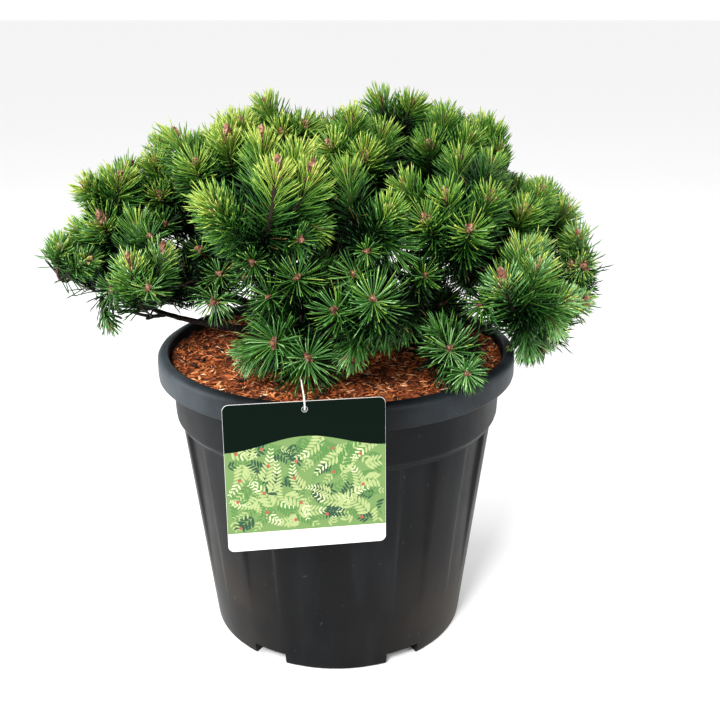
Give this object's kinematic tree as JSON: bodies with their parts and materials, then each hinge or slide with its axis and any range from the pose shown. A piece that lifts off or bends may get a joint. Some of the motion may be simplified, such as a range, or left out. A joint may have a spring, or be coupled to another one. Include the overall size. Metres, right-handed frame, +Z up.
{
  "type": "potted mugo pine",
  "caption": "Low, spreading dwarf conifer with upturned brush-like shoots, growing in a round tapered nursery pot filled with bark mulch, with a hanging picture card.",
  "frame": {"origin": "the centre of the pot's flat underside, on the surface that the pot stands on", "axes": "+Z up along the pot's axis, -Y towards the side that the card hangs on, +X to the right when the card faces the viewer"},
  "size_m": [0.6481, 0.524, 0.6178],
  "materials": {
    "black_plastic": "satin",
    "bark_mulch": "matte",
    "bark": "matte",
    "needles": "satin",
    "printed_card": "satin",
    "white_tie": "satin"
  },
  "bodies": {
    "root": {"bough_back": "bark", "bough_back_right": "bark", "bough_front": "bark", "bough_front_left": "bark", "bough_front_right": "bark", "bough_left": "bark", "bough_left_back": "bark", "bough_left_high": "bark", "bough_left_low": "bark", "bough_right": "bark", "bough_right_low": "bark", "bough_top_left": "bark", "bough_top_middle": "bark", "bough_top_right": "bark", "card": "printed_card", "card_tie": "white_tie", "foliage_back_left": "needles", "foliage_back_left_high": "needles", "foliage_back_left_low": "needles", "foliage_back_left_tip": "needles", "foliage_back_low": "needles", "foliage_back_middle": "needles", "foliage_back_middle_high": "needles", "foliage_back_middle_right": "needles", "foliage_back_right": "needles", "foliage_back_right_high": "needles", "foliage_back_right_low": "needles", "foliage_centre_low": "needles", "foliage_crown_heart": "needles", "foliage_front_centre": "needles", "foliage_front_left_high": "needles", "foliage_front_low": "needles", "foliage_front_low_right": "needles", "foliage_front_middle_high": "needles", "foliage_front_right": "needles", "foliage_front_right_high": "needles", "foliage_left_hanging": "needles", "foliage_left_inner": "needles", "foliage_left_low": "needles", "foliage_left_middle": "needles", "foliage_left_outer_shoulder": "needles", "foliage_left_shoulder": "needles", "foliage_left_tip": "needles", "foliage_left_under": "needles", "foliage_right_hanging": "needles", "foliage_right_inner": "needles", "foliage_right_low": "needles", "foliage_right_middle": "needles", "foliage_right_outer_high": "needles", "foliage_right_shoulder": "needles", "foliage_right_tip": "needles", "foliage_right_under": "needles", "foliage_top_back": "needles", "foliage_top_left": "needles", "foliage_top_middle": "needles", "foliage_top_right": "needles", "foliage_upper_left": "needles", "growing_medium": "bark_mulch", "pot": "black_plastic", "stem": "bark"}
  },
  "joints": []
}
